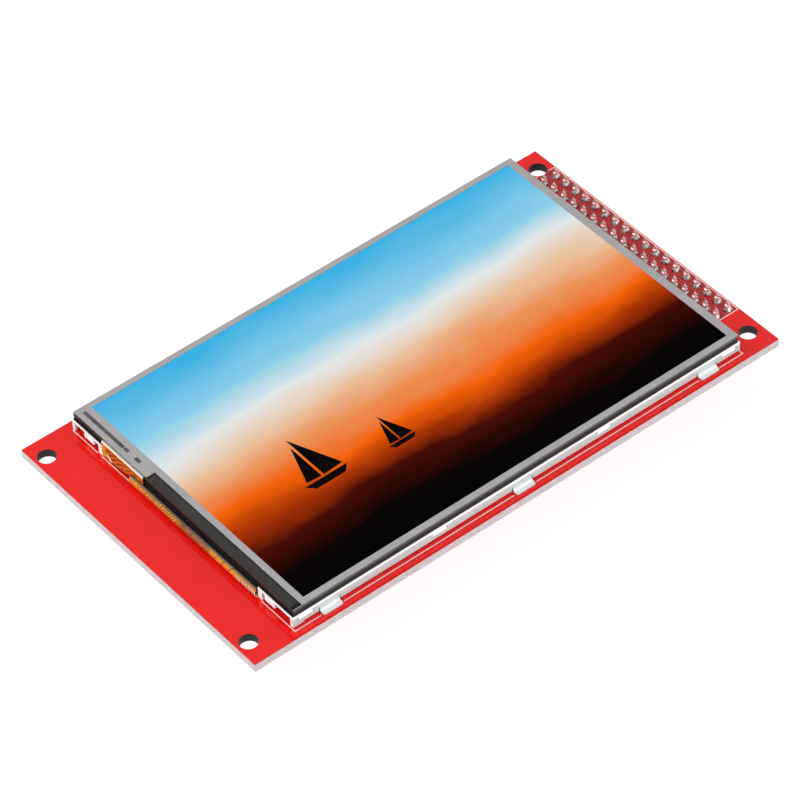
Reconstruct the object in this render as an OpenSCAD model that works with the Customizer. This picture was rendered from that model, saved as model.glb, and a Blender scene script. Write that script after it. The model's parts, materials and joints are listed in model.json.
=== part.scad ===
// Colour display module: a 4 inch class liquid crystal display with a
// resistive touch panel, carried on a circuit board with a two-row pin header.
// The origin is the centre of the four mounting holes, on the underside of the
// board. X runs along the board towards the header, Y towards the far long
// side, Z up through the screen.

/* [Circuit board] */
// Length of the board
board_l = 106.8; // [106:0.2:120]
// Width of the board
board_w = 61; // [60.6:0.2:70]
// Thickness of the board
board_t = 1.6; // [1.2:0.2:2]
// Diameter of the mounting holes
hole_d = 3.2; // [2.6:0.1:3.4]
// Left edge of the board to the left pair of holes
hole_left = 2.2; // [2:0.1:3]
// Right edge of the board to the right pair of holes
hole_right = 2.7; // [2:0.1:3]
// Near long edge of the board to the near pair of holes
hole_near = 4.4; // [3:0.1:5]
// Far long edge of the board to the far pair of holes
hole_far = 3.9; // [2.4:0.1:4]

/* [Pin header] */
// Distance between neighbouring pins
pitch = 2.54; // [2.5:0.01:2.54]
// Pins in each of the two rows
pins_per_row = 18; // [4:1:18]
// Side of the square pins
pin_w = 0.64; // [0.5:0.02:0.64]
// Length of the pins below their plastic housing
pin_below = 6; // [3:0.5:12]
// Length of the pins above the board
pin_above = 1.7; // [1.2:0.1:3]
// Height of the plastic housing
housing_h = 2.54; // [1.5:0.02:3]
// Right edge of the board to the outer row of pins
header_edge = 1.5; // [1.4:0.1:1.6]
// Near long edge of the board to the first pins
header_near = 10.66; // [8.5:0.02:11]

/* [Display] */
// Length of the display frame
display_l = 91.2; // [86:0.2:92]
// Width of the display frame
display_w = 57.4; // [54:0.2:57.8]
// Left edge of the board to the display frame
display_left = 9; // [8.8:0.1:9.8]
// Near long edge of the board to the display frame
display_near = 2; // [1.4:0.1:2.5]
// Thickness of the steel tray's sheet
sheet_t = 0.2; // [0.15:0.05:0.3]
// Height of the tray's walls
tray_h = 1.7; // [1.6:0.1:2.6]
// Height of the plastic rim above the tray
rim_t = 0.4; // [0.3:0.05:0.6]
// Thickness of the touch panel's glass
touch_glass_t = 1; // [0.7:0.1:1.8]
// Width of the printed border along the long sides
border_w = 1.1; // [0.8:0.1:1.6]

/* [Hidden] */

$fn = 32;
eps = 0.01;

// Mounting holes and the frame's origin
hole_x = [hole_left, board_l - hole_right];
hole_y = [hole_near, board_w - hole_far];
centre_x = (hole_x[0] + hole_x[1]) / 2;
centre_y = (hole_y[0] + hole_y[1]) / 2;

// Pin header
row_x = [board_l - header_edge - pitch, board_l - header_edge];
pin_y = [for (i = [0:pins_per_row - 1]) header_near + i * pitch];
pin_hole_d = 1;
pin_chamfer = 0.2;
housing_x0 = row_x[0] - pitch / 2;
joint_r = 0.88;
joint_top_r = 0.45;
joint_h = 1;

// Outline of the display frame, and the heights of its layers
frame_x = [display_left, display_left + display_l];
frame_y = [display_near, display_near + display_w];
frame_cx = (frame_x[0] + frame_x[1]) / 2;
tape_t = 0.1;
z_tray = board_t + tape_t;
z_in = z_tray + sheet_t;
z_wall = z_tray + tray_h;
z_rim = z_wall + rim_t;
reflector_t = 0.08;
film_t = 0.07;
shield_t = 0.05;
polariser_t = 0.13;
cell_glass_t = 0.4;
picture_t = 0.03;
z_picture = z_rim - picture_t;
z_front_pol = z_picture - polariser_t;
z_filter = z_front_pol - cell_glass_t;
z_cell = z_filter - cell_glass_t;
z_rear_pol = z_cell - polariser_t;
z_shield = z_rear_pol - shield_t;
z_films = z_shield - 3 * film_t;
z_guide = z_in + reflector_t;

// The tray stops short of the left end, where the two flexes come down
overhang = 1.15;
body_x = frame_x[0] + overhang;
frame_gap = 0.05;
ledge = 1.8;
cell_x = [frame_x[0] + 0.6, frame_x[1] - 0.75];
cell_y = [frame_y[0] + 0.6, frame_y[1] - 0.6];
filter_x = cell_x[0] + ledge;
guide_x = [filter_x + 0.1, frame_x[1] - 1.1];
guide_y = [frame_y[0] + 0.95, frame_y[1] - 0.95];
led_bay_x = body_x + 0.5;
shelf_x = frame_x[0] + 0.95;

// Ears of the tray that lie on the board, and the frame's snap hooks
ear_x = [for (i = [-1:1]) frame_cx + i * 0.422 * display_l];
ear_w = 4.4;
ear_reach = 1.05;
ear_bend_r = 0.55;
ear_corner_r = 0.3;
relief_w = 0.3;
relief_h = 1.1;
hook_x = [for (i = [-0.473, -0.184, 0.184, 0.473]) frame_cx + i * display_l];
hook_w = 2.6;
hook_z = board_t + 1.2;
hook_play = 0.35;

// Flexes along the left end: the touch panel's tail is measured from the far
// side, and the display's flex reaches in under it
tail_to_far = 8.2;
tail_w = 10.9;
tail_y = [frame_y[1] - tail_to_far - tail_w, frame_y[1] - tail_to_far];
flex_to_near = 8.9;
flex_under_tail = 3.1;
display_flex_y = [frame_y[0] + flex_to_near, tail_y[0] + flex_under_tail];

// Opening at the left end for the flexes, the legs and hooks beside it
flex_gap_y = [display_flex_y[0] - 0.15, tail_y[1] + 0.1];
leg_w = 1;
leg_t = 0.4;
post_w = 0.45;
end_hook_w = 2.5;
end_hook_z = board_t + 0.9;
end_hook_y = [
    flex_gap_y[0] - leg_w - 0.85 - end_hook_w, flex_gap_y[1] + leg_w + 1.1
];

// Touch panel
adhesive_t = 0.2;
spacer_t = 0.1;
touch_film_t = 0.22;
print_t = 0.03;
z_glass = z_rim + adhesive_t;
z_spacer = z_glass + touch_glass_t;
z_film = z_spacer + spacer_t;
z_border = z_film + touch_film_t;
touch_x = [frame_x[0] + 0.33, frame_x[1] - 0.26];
touch_y = [frame_y[0] + 0.18, frame_y[1] - 0.2];
window_x = [frame_x[0] + 3.2, frame_x[1] - 1.7];
window_y = [touch_y[0] + border_w, touch_y[1] - border_w];
clear_strip_x = window_x[0] - 1.15;
clear_strip_y = tail_y[0] - 0.6;
cover_x = clear_strip_x + 0.3;
spacer_w = 0.9;
mark_x = window_x[0] - 1.9;
mark_w = 0.65;

// Flexes
flex_t = 0.12;
flex_foot_z = 0.05;
flex_x = frame_x[0] + 0.2;
comb_w = 4.7;
comb_pitch = 0.36;
comb_slot = 0.17;
comb_h = 1.35;
z_flex = z_cell + cell_glass_t;
bend_r = (z_flex + flex_t - board_t - flex_foot_z) / 2;
tail_foot_w = 2.6;
tail_foot_y = tail_y[1] - tail_foot_w;
tail_t = 0.1;
tail_r = 0.3;
tail_x = touch_x[0] - 0.05;

// Colours
board_red = [0.84, 0.12, 0.11];
steel_grey = [0.82, 0.83, 0.84];
frame_white = [0.93, 0.93, 0.91];
flex_amber = [0.80, 0.50, 0.12];
tin_grey = [0.86, 0.86, 0.88];
part_black = [0.10, 0.10, 0.11];
glass_tint = [0.75, 0.88, 0.90, 0.25];

// A box from its lowest to its highest corner
module block(x, y, z) {
    translate([x[0], y[0], z[0]])
        cube([x[1] - x[0], y[1] - y[0], z[1] - z[0]]);
}

// Turns board coordinates, from the near left corner, into the part's frame
module on_board() {
    translate([-centre_x, -centre_y, 0]) children();
}

// The same for a piece on the underside, whose height is measured downwards
module under_board() {
    on_board() mirror([0, 0, 1]) children();
}

// A profile drawn in X and Z, run along Y
module along_y(y) {
    translate([0, y[1], 0]) rotate([90, 0, 0])
        linear_extrude(y[1] - y[0]) children();
}

// A profile drawn in Y and Z, run along X
module along_x(x) {
    translate([x[0], 0, 0]) rotate([90, 0, 90])
        linear_extrude(x[1] - x[0]) children();
}

module circuit_board() {
    color(board_red) on_board() difference() {
        cube([board_l, board_w, board_t]);
        for (x = hole_x, y = hole_y)
            translate([x, y, -1]) cylinder(d = hole_d, h = board_t + 2);
        for (x = row_x, y = pin_y)
            translate([x, y, -1]) cylinder(d = pin_hole_d, h = board_t + 2);
    }
}

// Printed lines: the display's outline and the header's box
line_w = 0.2;
line_t = 0.02;
print_gap = 0.02;
outline_x = [frame_x[0] - 0.3, frame_x[1] + 0.12];
outline_y = [frame_y[0] - 0.75, frame_y[1] - 0.25];
box_x = [frame_x[1] + 1.3, board_l - 0.15];
box_y = [pin_y[0] - 1.2, pin_y[pins_per_row - 1] + 2];

module frame_line(x, y) {
    z = [board_t, board_t + line_t];
    block([x[0], x[0] + line_w], y, z);
    block([x[1] - line_w, x[1]], y, z);
    block(x, [y[0], y[0] + line_w], z);
    block(x, [y[1] - line_w, y[1]], z);
}

module board_print() {
    color("mistyrose") on_board() difference() {
        union() {
            frame_line(outline_x, outline_y);
            frame_line(box_x, box_y);
        }
        for (x = hole_x, y = hole_y)
            translate([x, y, 0]) cylinder(d = hole_d + 0.4, h = 2 * board_t);
        near_and_far() for (x = ear_x)
            block([x - ear_w / 2 - print_gap, x + ear_w / 2 + print_gap],
                  [-ear_reach - print_gap, sheet_t], [0, 2 * board_t]);
        for (y = leg_y())
            block([0, body_x], [y - print_gap, y + leg_w + print_gap],
                  [0, 2 * board_t]);
    }
}

// One square pin with four-sided chamfered tips
module pin(z0, z1) {
    h = pin_w / 2;
    tip = [
        [-h, z0 + pin_chamfer * 2], [pin_chamfer - h, z0],
        [h - pin_chamfer, z0], [h, z0 + pin_chamfer * 2],
        [h, z1 - pin_chamfer * 2], [h - pin_chamfer, z1],
        [pin_chamfer - h, z1], [-h, z1 - pin_chamfer * 2]
    ];
    intersection() {
        along_x([-h, h]) polygon(tip);
        along_y([-h, h]) polygon(tip);
    }
}

module header_pins() {
    color("gold") on_board()
        for (x = row_x, y = pin_y)
            translate([x, y, 0])
                pin(-housing_h - pin_below, board_t + pin_above);
}

// The housing is a strip of cells with cut corners, so that it can be snapped
module header_housing() {
    cell = pitch / 2;
    cut = 0.4;
    color(part_black) on_board() difference() {
        union() {
            for (y = pin_y)
                translate([row_x[0], y, -housing_h]) linear_extrude(housing_h)
                    polygon([
                        [-cell, -cell + cut], [-cell + cut, -cell],
                        [pitch + cell - cut, -cell], [pitch + cell, -cell + cut],
                        [pitch + cell, cell - cut], [pitch + cell - cut, cell],
                        [-cell + cut, cell], [-cell, cell - cut]
                    ]);
        }
        for (x = row_x, y = pin_y)
            translate([x - pin_w / 2, y - pin_w / 2, -housing_h - 1])
                cube([pin_w, pin_w, housing_h + 2]);
    }
}

// A solder joint rises from its pad to the pin in a hollow curve
function joint_profile(steps = 5) = concat(
    [[0, 0]],
    [for (i = [0:steps])
        let (t = i / steps)
        [joint_top_r + (joint_r - joint_top_r) * pow(1 - t, 2.2), joint_h * t]],
    [[0, joint_h]]
);

module solder_joints() {
    color(tin_grey) on_board() translate([0, 0, board_t])
        for (x = row_x, y = pin_y)
            translate([x, y, 0]) difference() {
                rotate_extrude($fn = 20) polygon(joint_profile());
                translate([-pin_w / 2, -pin_w / 2, -1])
                    cube([pin_w, pin_w, joint_h + 2]);
            }
}

// Two strips of double-sided tape hold the tray to the board
module mounting_tape() {
    inset = 4;
    strip_w = 8;
    color("white") on_board()
        for (y = [frame_y[0] + inset, frame_y[1] - inset - strip_w])
            block([body_x + inset, frame_x[1] - inset], [y, y + strip_w],
                  [board_t, z_tray]);
}

// Section of the folded sheet across the tray: a floor and two walls
module channel(a, z, r) {
    polygon(concat(
        [[a[0], z[1]]],
        [for (t = [180:15:270]) [a[0] + r + r * cos(t), z[0] + r + r * sin(t)]],
        [for (t = [270:15:360]) [a[1] - r + r * cos(t), z[0] + r + r * sin(t)]],
        [[a[1], z[1]]]
    ));
}

module tray_shape(inset, z_top) {
    r = 0.35 - inset * 0.75;
    x = [body_x + inset, frame_x[1] - inset];
    y = [frame_y[0] + inset, frame_y[1] - inset];
    z = [z_tray + inset, z_top];
    intersection() {
        along_x([frame_x[0] - 1, frame_x[1] + 1]) channel(y, z, r);
        along_y([frame_y[0] - 1, frame_y[1] + 1]) channel(x, z, r);
    }
}

// The near and far walls run on past the floor to the left end
module wall_wings() {
    for (y = [frame_y[0], frame_y[1] - sheet_t])
        block([frame_x[0], body_x + 1], [y, y + sheet_t], [z_tray, z_wall]);
}

// One ear: the wall's foot bends outwards and lies on the board
module ear_section() {
    r = ear_bend_r;
    top = board_t + relief_h;
    difference() {
        polygon([
            [sheet_t, top], [0, top], [0, board_t + sheet_t],
            [-ear_reach, board_t + sheet_t], [-ear_reach, board_t],
            [sheet_t, board_t]
        ]);
        translate([sheet_t, board_t]) difference() {
            translate([-r / 2, -1]) square([r, r / 2 + 1]);
            translate([-r / 2, r / 2]) circle(r = r / 2, $fn = 24);
        }
    }
    intersection() {
        translate([-r, board_t + sheet_t]) square([r + eps, r]);
        difference() {
            translate([-r, board_t + sheet_t]) square([r + eps, r]);
            translate([-r, board_t + sheet_t + r]) circle(r = r, $fn = 32);
        }
    }
}

module ear() {
    w = ear_w - 2 * relief_w;
    intersection() {
        along_x([-w / 2, w / 2]) ear_section();
        translate([0, 0, board_t - 1]) linear_extrude(relief_h + 2) {
            translate([-w / 2, -ear_reach + ear_corner_r])
                square([w, ear_reach + 1]);
            translate([-w / 2 + ear_corner_r, -ear_reach])
                square([w - 2 * ear_corner_r, ear_corner_r + eps]);
            for (x = [-w / 2 + ear_corner_r, w / 2 - ear_corner_r])
                translate([x, -ear_reach + ear_corner_r])
                    circle(r = ear_corner_r, $fn = 24);
        }
    }
}

module near_and_far() {
    translate([0, frame_y[0], 0]) children();
    translate([0, frame_y[1], 0]) mirror([0, 1, 0]) children();
}

module steel_tray() {
    slit = 0.15;
    color(steel_grey) on_board() {
        difference() {
            union() {
                difference() {
                    tray_shape(0, z_wall);
                    tray_shape(sheet_t, z_wall + 1);
                    // low wall beside the flexes
                    block([body_x - 1, body_x + sheet_t + eps],
                          [frame_y[0] + sheet_t, frame_y[1] - sheet_t],
                          [z_tray + 0.6, z_wall + 1]);
                }
                wall_wings();
            }
            // cleared for the ears and their reliefs
            near_and_far() for (x = ear_x)
                block([x - ear_w / 2, x + ear_w / 2], [-1, sheet_t + eps],
                      [board_t - 1, board_t + relief_h]);
            // windows for the snap hooks
            near_and_far() for (x = hook_x)
                block([x - hook_w / 2 - hook_play, x + hook_w / 2 + hook_play],
                      [-1, sheet_t + eps], [hook_z, z_wall + 1]);
            // open corners, where the folded walls meet
            near_and_far()
                block([frame_x[1] - 1, frame_x[1] + 1],
                      [sheet_t, sheet_t + slit], [z_in, z_wall + 1]);
        }
        near_and_far() for (x = ear_x) translate([x, 0, 0]) ear();
    }
}

// Section of the frame's body, chamfered to clear the tray's bends
module chamfered(a) {
    c = 0.2;
    polygon([
        [a[0] + c, z_in], [a[1] - c, z_in], [a[1], z_in + c],
        [a[1], z_wall], [a[0], z_wall], [a[0], z_in + c]
    ]);
}

function leg_y() = [flex_gap_y[0] - leg_w, flex_gap_y[1]];

// White frame: it holds the films, the light guide and the glass, and its rim
// covers the tray's walls
module moulded_frame() {
    gap = sheet_t + frame_gap;
    color(frame_white) on_board() {
        difference() {
            union() {
                intersection() {
                    along_x(frame_x)
                        chamfered([frame_y[0] + gap, frame_y[1] - gap]);
                    along_y(frame_y)
                        chamfered([body_x + gap, frame_x[1] - gap]);
                }
                block(frame_x, frame_y, [z_wall, z_rim]);
                block([shelf_x, body_x + 1],
                      [frame_y[0] + gap, frame_y[1] - gap],
                      [z_cell - 0.3, z_wall + eps]);
            }
            // pocket for the glass
            block([cell_x[0] - 0.1, cell_x[1] + 0.1],
                  [cell_y[0] - 0.1, cell_y[1] + 0.1], [z_cell, z_rim + 1]);
            // opening for the films and the light guide
            block([guide_x[0] - 0.05, guide_x[1] + 0.05],
                  [guide_y[0] - 0.05, guide_y[1] + 0.05],
                  [z_in - 1, z_cell + 1]);
            // bay for the row of lamps
            block([led_bay_x, guide_x[0]],
                  [guide_y[0] - 0.05, guide_y[1] + 0.05],
                  [z_in - 1, z_films + 2 * film_t]);
            // the flexes leave here
            block([frame_x[0] - 1, cell_x[0] + 0.02], flex_gap_y,
                  [board_t, z_rim + 1]);
        }
        // snap hooks in the tray's windows
        near_and_far() for (x = hook_x)
            block([x - hook_w / 2, x + hook_w / 2], [-0.06, gap + eps],
                  [hook_z + 0.02, z_wall + eps]);
        // hooks at the left end
        for (y = end_hook_y)
            block([frame_x[0] - 0.1, frame_x[0] + 0.5], [y, y + end_hook_w],
                  [end_hook_z, z_rim]);
        // posts at the left ends of the tray's walls
        near_and_far()
            block([frame_x[0], frame_x[0] + post_w],
                  [sheet_t + 0.02, sheet_t + 0.02 + post_w],
                  [z_tray, z_wall + eps]);
        // legs that stand on the board beside the flexes
        for (y = leg_y())
            block([frame_x[0], frame_x[0] + leg_t], [y, y + leg_w],
                  [board_t, z_wall + eps]);
    }
}

module film_sheet(z, t, name_gap = 0.1) {
    block([guide_x[0] + name_gap, guide_x[1] - name_gap],
          [guide_y[0] + name_gap, guide_y[1] - name_gap], [z, z + t]);
}

module reflector_sheet() {
    color("white") on_board() film_sheet(z_in, reflector_t, 0.02);
}

// Light guide, notched at the end where the lamps shine in
module light_guide() {
    count = led_count;
    color([0.85, 0.95, 1, 0.5]) on_board() difference() {
        film_sheet(z_guide, z_films - z_guide, 0.02);
        for (i = [0:count - 1])
            translate([guide_x[0] - 0.2, led_y(i), z_guide - 1])
                cylinder(r = 0.5, h = 4, $fn = 24);
    }
}

led_count = 8;
led_w = 3;
led_d = 0.75;
led_h = 0.45;
function led_y(i) =
    guide_y[0] + (i + 0.5) * (guide_y[1] - guide_y[0]) / led_count;

module led_flex() {
    color(flex_amber) on_board()
        block([led_bay_x + 0.05, guide_x[0] - 0.03],
              [guide_y[0] + 0.5, guide_y[1] - 0.5], [z_in, z_in + 0.1]);
}

module backlight_leds() {
    color("lightyellow") on_board() for (i = [0:led_count - 1])
        translate([guide_x[0] - 0.05 - led_d, led_y(i) - led_w / 2, z_in + 0.1])
            difference() {
                cube([led_d, led_w, led_h]);
                translate([led_d - 0.2, 0.4, 0.1])
                    cube([1, led_w - 0.8, led_h - 0.2]);
            }
}

module diffuser_film() {
    color("whitesmoke") on_board() film_sheet(z_films, film_t);
}

module lower_prism_film() {
    color("aliceblue") on_board() film_sheet(z_films + film_t, film_t);
}

module upper_prism_film() {
    color("lavender") on_board() film_sheet(z_films + 2 * film_t, film_t);
}

// Ring of black tape between the films and the glass
module light_shield() {
    w = 0.8;
    color(part_black) on_board() difference() {
        film_sheet(z_shield, shield_t, 0.05);
        film_sheet(z_shield - 1, 2, w);
    }
}

module rear_polariser() {
    color("dimgray") on_board() film_sheet(z_rear_pol, polariser_t, 0.05);
}

module display_glass() {
    color(glass_tint) on_board()
        block(cell_x, cell_y, [z_cell, z_cell + cell_glass_t]);
}

module colour_filter_glass() {
    color(glass_tint) on_board()
        block([filter_x, cell_x[1]], cell_y, [z_filter, z_front_pol]);
}

module front_polariser() {
    color("dimgray") on_board()
        block([filter_x + 0.2, cell_x[1] - 0.15],
              [cell_y[0] + 0.15, cell_y[1] - 0.15], [z_front_pol, z_picture]);
}

// Bare silicon chip, face down on the glass ledge
chip_inset = 5.25;

module driver_chip() {
    color("slategray") on_board()
        block([filter_x - 0.75, filter_x - 0.1],
              [display_flex_y[0] + chip_inset, display_flex_y[1] - chip_inset],
              [z_flex, z_flex + 0.3]);
}

// Section of the display's flex: along the ledge, round the bend, and back to
// the pads on the board
module u_bend(x_in, x_out, z_top, z_bot, t) {
    r = (z_top - z_bot) / 2;
    z = (z_top + z_bot) / 2;
    difference() {
        union() {
            translate([x_out, z]) circle(r = r, $fn = 48);
            translate([x_out, z_top - t]) square([x_in[0] - x_out, t]);
            translate([x_out, z_bot]) square([x_in[1] - x_out, t]);
        }
        translate([x_out, z]) circle(r = r - t, $fn = 48);
        translate([x_out, z_bot + t]) square([4, z_top - z_bot - 2 * t]);
    }
}

module display_flex() {
    color(flex_amber) on_board() difference() {
        along_y(display_flex_y)
            u_bend([cell_x[0] + 0.95, body_x - 0.1], flex_x,
                   z_flex + flex_t, board_t + flex_foot_z, flex_t);
        // comb of contact fingers at the near end
        for (y = [display_flex_y[0] + comb_slot : comb_pitch : display_flex_y[0] + comb_w])
            block([flex_x - 3, body_x + 1], [y, y + comb_slot],
                  [board_t - 1, board_t + comb_h]);
    }
}

module flex_solder() {
    color(tin_grey) on_board()
        block([body_x - 0.6, body_x - 0.1],
              [display_flex_y[0] + 0.3, display_flex_y[1] - 0.3],
              [board_t, board_t + flex_foot_z]);
}

// Charcoal strip under the clear left margin of the touch panel's film
module ledge_cover() {
    color([0.22, 0.22, 0.21]) on_board()
        block([touch_x[0], cover_x - 0.02],
              [touch_y[0] + spacer_w + 0.02, tail_y[0] - 0.02],
              [z_spacer, z_film]);
}

// The lit picture: bands of colour from the far side to the near side
picture_x = [window_x[0] - 0.3, window_x[1] + 0.3];
picture_y = [window_y[0] - 0.3, window_y[1] + 0.3];
function picture_at(f) = picture_y[0] + f * (picture_y[1] - picture_y[0]);

module picture_band(f0, f1) {
    on_board() block(picture_x, [picture_at(f0), picture_at(f1)],
                     [z_picture, z_rim]);
}

module picture_blue_sky() {
    color([0.30, 0.73, 0.90]) picture_band(0.79, 1);
}

module picture_pale_sky() {
    color([0.88, 0.92, 0.91]) picture_band(0.62, 0.79);
}

module picture_peach_sky() {
    color([0.94, 0.78, 0.62]) picture_band(0.49, 0.62);
}

module picture_orange_sky() {
    color([0.97, 0.42, 0.05]) picture_band(0.27, 0.49);
}

module picture_dusk() {
    color([0.36, 0.06, 0.01]) picture_band(0.15, 0.27);
}

module picture_water() {
    color([0.02, 0.01, 0.01]) picture_band(0, 0.15);
}

// Two small sailing boats, standing a hair above the picture's bands
boat_t = 0.02;
big_boat = [19, 18.6, 1.25];
small_boat = [33, 16.9, 0.8];

module boat(p) {
    translate([picture_x[0] + p[0], picture_y[0] + p[1], z_rim])
        linear_extrude(boat_t) scale(p[2]) {
            polygon([[-3.2, 0], [-2.2, -1.1], [2.4, -1.1], [3.4, 0]]);
            polygon([[0, 0.3], [0, 8.2], [3.1, 0.5]]);
            polygon([[-0.35, 0.3], [-0.35, 6.8], [-2.6, 0.5]]);
        }
}

module picture_boats() {
    color([0.03, 0.02, 0.02]) on_board() {
        boat(big_boat);
        boat(small_boat);
    }
}

// Tape ring between the display's rim and the touch panel's glass
module touch_adhesive() {
    w = 0.75;
    color([0.2, 0.2, 0.2]) on_board() difference() {
        block([frame_x[0] + 0.14, touch_x[1] - 0.1],
              [touch_y[0] - 0.04, touch_y[1] - 0.1], [z_rim, z_glass]);
        block([window_x[0] - 0.85, touch_x[1] - w],
              [touch_y[0] + w, touch_y[1] - w], [z_rim - 1, z_glass + 1]);
        // clear of the touch panel's tail
        block([frame_x[0] - 1, touch_x[0]], [tail_y[0] - 0.1, tail_y[1] + 0.1],
              [z_rim - 1, z_glass + 1]);
    }
}

module touch_glass() {
    color(glass_tint) on_board() block(touch_x, touch_y, [z_glass, z_spacer]);
}

module touch_spacer() {
    w = spacer_w;
    color([0.18, 0.18, 0.18]) on_board() difference() {
        block(touch_x, touch_y, [z_spacer, z_film]);
        block([window_x[0] - 0.4, touch_x[1] - w],
              [touch_y[0] + w, touch_y[1] - w], [z_spacer - 1, z_film + 1]);
        block([touch_x[0] - 1, touch_x[0] + 1.45], tail_y,
              [z_spacer - 1, z_film + 1]);
        block([touch_x[0] - 1, cover_x],
              [touch_y[0] + w, tail_y[0] + eps], [z_spacer - 1, z_film + 1]);
    }
}

module touch_film() {
    color(glass_tint) on_board() block(touch_x, touch_y, [z_film, z_border]);
}

// Grey printed border, left clear over the flex's ledge
module border_print() {
    color([0.65, 0.64, 0.63]) on_board() difference() {
        block(touch_x, touch_y, [z_border, z_border + print_t]);
        block(window_x, window_y, [z_border - 1, z_border + 1]);
        block([touch_x[0] - 1, clear_strip_x], [touch_y[0] - 1, clear_strip_y],
              [z_border - 1, z_border + 1]);
    }
}

// Darker bars in the border, where the panel's traces run
module border_marks() {
    far = touch_y[1];
    color([0.35, 0.34, 0.34]) on_board() {
        for (y = [[11.8, 1.2], [13.1, 12], [16.2, 14.9]])
            block([mark_x, mark_x + mark_w], [far - y[0], far - y[1]],
                  [z_border + print_t, z_border + print_t + 0.01]);
    }
}

// Section of the touch panel's tail: out of the panel, down, and back to the
// board
module tail_section() {
    x = tail_x;
    z = [board_t + flex_foot_z, z_spacer + tail_t];
    r = tail_r;
    difference() {
        union() {
            for (zc = [z[0] + r, z[1] - r]) translate([x, zc]) circle(r = r);
            translate([x - r, z[0] + r]) square([r, z[1] - z[0] - 2 * r]);
            translate([x, z[1] - tail_t])
                square([touch_x[0] + 1.4 - x, tail_t]);
            translate([x, z[0]]) square([body_x - 0.1 - x, tail_t]);
        }
        for (zc = [z[0] + r, z[1] - r])
            translate([x, zc]) circle(r = r - tail_t);
        translate([x - r + tail_t, z[0] + r])
            square([r, z[1] - z[0] - 2 * r]);
        translate([x, z[0] + tail_t]) square([4, z[1] - z[0] - 2 * tail_t]);
    }
}

module touch_flex() {
    color(flex_amber) on_board() difference() {
        along_y(tail_y) tail_section();
        // narrowed on a slant, past the display's flex and down to its foot
        along_x([frame_x[0] - 3, body_x + 1]) polygon([
            [tail_y[0] - 1, board_t - 1], [tail_y[0] - 1, z_flex + 0.25],
            [display_flex_y[1] + 0.15, z_flex + 0.25],
            [display_flex_y[1] + 0.15, board_t + 1.15],
            [tail_foot_y, board_t + 0.12], [tail_foot_y, board_t - 1]
        ]);
    }
}

module touch_solder() {
    w = tail_foot_w / 4;
    gap = w / 4;
    color(tin_grey) on_board() for (i = [0:3])
        block([tail_x + 0.1, body_x - 0.15],
              [tail_foot_y + i * w + gap / 2, tail_foot_y + (i + 1) * w - gap / 2],
              [board_t, board_t + flex_foot_z]);
}

// ---- underside ----

// One gull-wing lead, its foot on the board and its shoulder in the body
module gull_lead(reach, h, t, w) {
    foot = reach * 0.45;
    translate([0, w / 2, 0]) rotate([90, 0, 0]) linear_extrude(w) polygon([
        [0, h + t / 2], [reach - foot - t, h + t / 2], [reach - foot, t],
        [reach, t], [reach, 0], [reach - foot - t, 0],
        [reach - foot - 1.5 * t, h - t / 2], [0, h - t / 2]
    ]);
}

// Leads along the two long sides of a body of width w, pins of them each side
module lead_rows(w, count, p, reach, h, t, lead_w) {
    for (i = [0:count - 1], side = [0, 1])
        rotate([0, 0, 180 * side])
            translate([w / 2, (i - (count - 1) / 2) * p, 0])
                gull_lead(reach, h, t, lead_w);
}

// Moulded chip body: its sides slope in above and below a flat band, where
// the leads leave
module chip_body(w, l, z0, z1) {
    intersection() {
        along_y([-l / 2, l / 2]) chip_section(w / 2, z0, z1);
        along_x([-w / 2, w / 2]) chip_section(l / 2, z0, z1);
    }
}

module chip_section(h, z0, z1) {
    s = 0.12;
    zm = (z0 + z1) / 2;
    band = 0.16;
    polygon([
        [-h + s, z0], [h - s, z0], [h, zm - band], [h, zm + band],
        [h - s, z1], [-h + s, z1], [-h, zm + band], [-h, zm - band]
    ]);
}

bus_chip_at = [[76.9, 18.3], [76.9, 40.3]];
bus_w = 6.1;
bus_l = 12.5;

module bus_chips() {
    color(part_black) under_board() for (p = bus_chip_at)
        translate([p[0], p[1], 0]) difference() {
            chip_body(bus_w, bus_l, 0.1, 1.1);
            translate([-bus_w / 2 + 1, bus_l / 2 - 1, 1.05])
                cylinder(d = 0.8, h = 1, $fn = 24);
        }
}

module bus_chip_leads() {
    color(tin_grey) under_board() for (p = bus_chip_at)
        translate([p[0], p[1], 0])
            lead_rows(bus_w, 24, 0.5, 1, 0.6, 0.15, 0.22);
}

touch_chip_at = [36.3, 45.1];

module touch_controller() {
    color(part_black) under_board() translate(touch_chip_at) difference() {
        chip_body(4.4, 5, 0.1, 1.1);
        translate([-1.4, 1.7, 1.05]) cylinder(d = 0.7, h = 1, $fn = 24);
    }
}

module touch_controller_leads() {
    color(tin_grey) under_board() translate(touch_chip_at)
        lead_rows(4.4, 8, 0.65, 1, 0.6, 0.15, 0.25);
}

regulator_at = [53.4, 12.2];

module regulator() {
    color(part_black) under_board() translate(regulator_at)
        chip_body(3.5, 6.5, 0.1, 1.7);
}

module regulator_leads() {
    color(tin_grey) under_board() translate(regulator_at) {
        for (y = [-2.3, 0, 2.3])
            translate([1.75, y, 0]) gull_lead(1.75, 0.9, 0.28, 0.7);
        rotate([0, 0, 180]) translate([1.75, 0, 0])
            gull_lead(1.75, 0.9, 0.28, 3);
    }
}

transistor_at = [42.7, 17.1];

module backlight_transistor() {
    color(part_black) under_board() translate(transistor_at)
        chip_body(1.3, 2.9, 0.05, 1.05);
}

module transistor_leads() {
    color(tin_grey) under_board() translate(transistor_at) {
        for (y = [-0.95, 0.95])
            translate([0.65, y, 0]) gull_lead(0.6, 0.55, 0.12, 0.4);
        rotate([0, 0, 180]) translate([0.65, 0, 0])
            gull_lead(0.6, 0.55, 0.12, 0.4);
    }
}

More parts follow.
